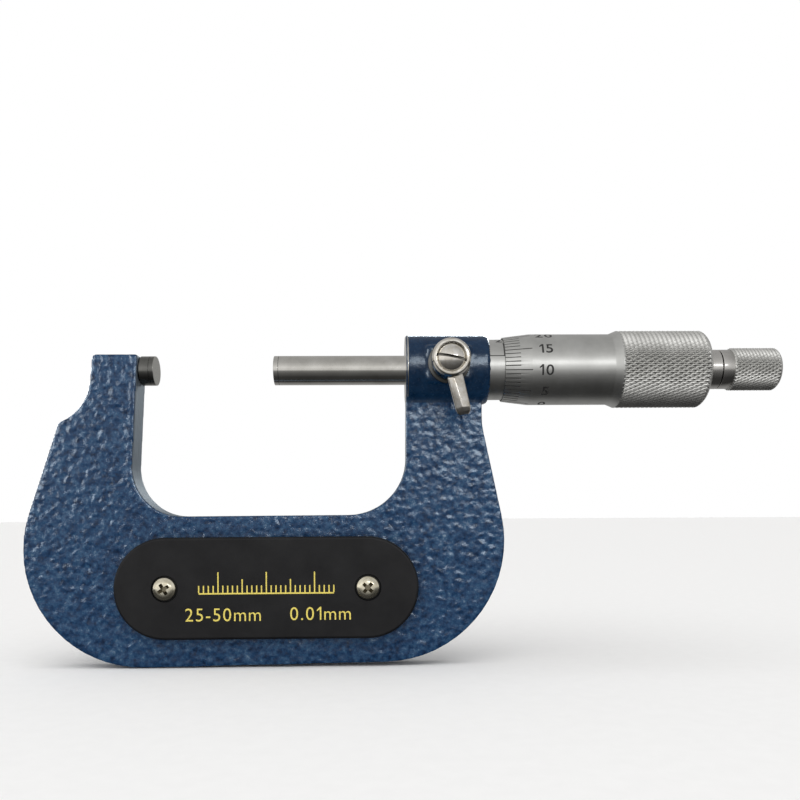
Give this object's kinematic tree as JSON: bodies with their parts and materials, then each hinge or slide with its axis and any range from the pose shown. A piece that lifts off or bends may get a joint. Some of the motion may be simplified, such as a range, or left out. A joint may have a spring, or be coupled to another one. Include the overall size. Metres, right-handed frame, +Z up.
{
  "type": "outside micrometer",
  "caption": "Outside micrometer with a cast C-frame, rotating thimble on a graduated sleeve, spindle lock lever and ratchet stop.",
  "frame": {"origin": "centre of the anvil's measuring face", "axes": "+X along the spindle from the anvil to the ratchet stop, +Z up out of the frame's throat, -Y the front, where the lock lever is"},
  "size_m": [0.1605, 0.023, 0.071],
  "materials": {
    "blue_enamel": "glossy hammered enamel over cast iron",
    "ground_steel": "ground",
    "carbide": "lapped",
    "satin_chrome": "satin",
    "nickel": "polished nickel",
    "spring_steel": "drawn wire",
    "brass": "turned",
    "black_plastic": "moulded, satin"
  },
  "bodies": {
    "frame": {"frame": "blue_enamel", "anvil": "ground_steel", "anvil_tip": "carbide", "inner_sleeve": "ground_steel", "adjusting_nut": "ground_steel", "front_plate": "black_plastic", "front_plate_screw_left": "nickel", "front_plate_screw_right": "nickel", "rear_plate": "black_plastic", "rear_plate_screw_left": "nickel", "rear_plate_screw_right": "nickel"},
    "sleeve": {"outer_sleeve": "satin_chrome"},
    "feed": {"spindle_tip": "carbide"},
    "thimble": {"spindle": "ground_steel", "thimble": "satin_chrome", "ratchet_shaft": "nickel", "ratchet_end_screw": "nickel"},
    "ratchet": {"ratchet_knob": "satin_chrome", "ratchet_disc": "ground_steel", "ratchet_spring": "spring_steel"},
    "lock": {"lock_lever": "nickel", "lock_stud": "ground_steel", "lock_screw": "nickel"},
    "plug": {"lock_plug": "brass"}
  },
  "joints": [
    {"name": "sleeve_zero_set", "type": "hinge", "parent": "frame", "child": "sleeve", "pos_m": [0.07, 0, 0], "axis": [1, 0, 0], "range_deg": [-15, 15]},
    {"name": "spindle_feed", "type": "slide", "parent": "frame", "child": "feed", "axis": [1, 0, 0], "range_m": [-0.00014, 0.02486]},
    {"name": "thimble_turn", "type": "hinge", "parent": "feed", "child": "thimble", "pos_m": [0.0738, 0, 0], "axis": [1, 0, 0], "range_deg": [-99.1, 17901.1]},
    {"name": "ratchet_slip", "type": "hinge", "parent": "thimble", "child": "ratchet", "pos_m": [0.1206, 0, 0], "axis": [1, 0, 0], "continuous": true},
    {"name": "lock_lever_swing", "type": "hinge", "parent": "frame", "child": "lock", "pos_m": [0.06195, -0.0076, 0.00015], "axis": [0, 1, 0], "range_deg": [0, 75.1]},
    {"name": "lock_plug_press", "type": "slide", "parent": "frame", "child": "plug", "axis": [0, 1, 0], "range_m": [0, 0.00015]}
  ],
  "couplings": [
    {"joint": "thimble_turn", "follows": "spindle_feed", "rad_per_m": 12566},
    {"joint": "lock_lever_swing", "follows": "lock_plug_press", "rad_per_m": 8726.6}
  ]
}
